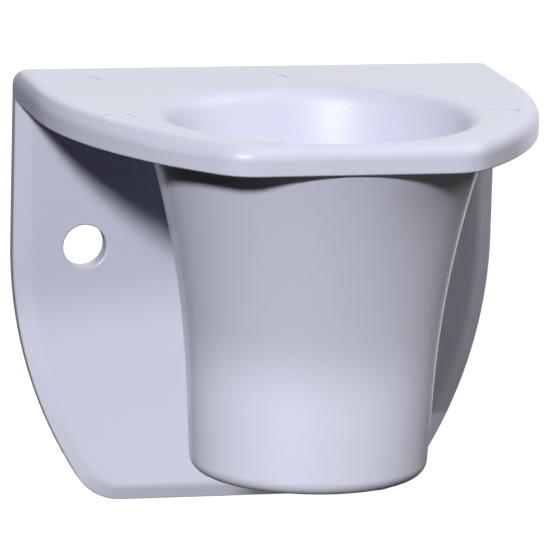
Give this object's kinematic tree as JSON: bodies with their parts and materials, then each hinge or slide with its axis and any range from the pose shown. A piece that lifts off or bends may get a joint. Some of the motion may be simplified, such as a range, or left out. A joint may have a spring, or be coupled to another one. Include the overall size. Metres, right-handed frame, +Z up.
{
  "type": "rod holder",
  "caption": "Moulded plastic boat rod holder: back plate with screw holes, shelf flange and a flared cup for a rod butt.",
  "frame": {"origin": "on the back face, midway between the two screw holes", "axes": "+Z up, +Y out of the back face into the wall, +X to the right seen from the front"},
  "size_m": [0.1016, 0.0889, 0.0905],
  "materials": {
    "moulding": "satin-gloss pale lavender-white moulded plastic"
  },
  "bodies": {
    "root": {"back_plate": "moulding", "top_flange": "moulding", "mouth_lip": "moulding", "rod_cup": "moulding", "cup_floor": "moulding"}
  },
  "joints": []
}
